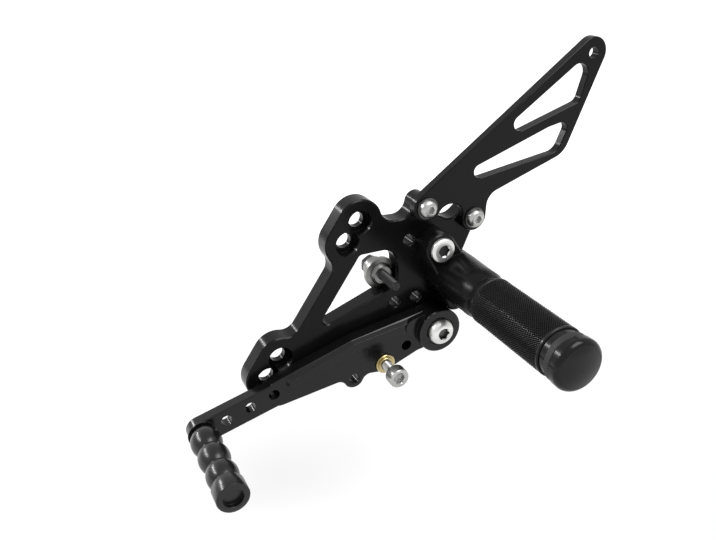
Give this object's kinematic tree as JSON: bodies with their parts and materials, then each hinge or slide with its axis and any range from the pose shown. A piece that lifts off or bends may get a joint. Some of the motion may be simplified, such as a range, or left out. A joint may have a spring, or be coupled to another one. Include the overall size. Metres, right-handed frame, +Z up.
{
  "type": "rear-set footrest",
  "caption": "Rear-set footrest for a sports motorbike: machined plate with knurled foot peg, windowed heel guard and pivoting gear lever with a toe peg.",
  "frame": {"origin": "midway between the two frame bolts, on the inner face of the base plate", "axes": "X points to the rear of the motorbike, Y inboard along the bolts, Z up"},
  "size_m": [0.2533, 0.1457, 0.1952],
  "materials": {
    "black_anodised": "satin black anodised",
    "grip": "knurled black anodised",
    "steel": "bright zinc plated",
    "black_steel": "black oxide",
    "brass": "turned",
    "bronze": "turned",
    "rubber": "matte"
  },
  "bodies": {
    "base": {"base_plate": "black_anodised", "carrier_bolt": "steel", "carrier_screw": "steel", "carrier_washer": "steel", "guard_bolts": "steel", "guard_washers": "steel", "heel_guard": "black_anodised", "peg_bolt": "steel", "peg_cap": "black_anodised", "peg_carrier": "black_anodised", "peg_grip": "grip", "peg_ring": "rubber", "pivot_bolt": "steel", "pivot_sleeve": "steel", "pivot_washer": "steel", "stud": "black_steel", "stud_collar": "steel", "stud_nut": "black_steel", "thrust_washer": "steel"},
    "lever": {"gear_lever": "black_anodised", "lever_bush": "bronze", "rod_screw": "steel", "rod_spacer": "brass", "toe_peg": "black_anodised", "toe_screw": "black_steel"}
  },
  "joints": [
    {"name": "gear_lever_pivot", "type": "hinge", "parent": "base", "child": "lever", "pos_m": [0.0664, -0.0164, -0.0316], "axis": [0, 1, 0], "range_deg": [-12, 12]}
  ]
}
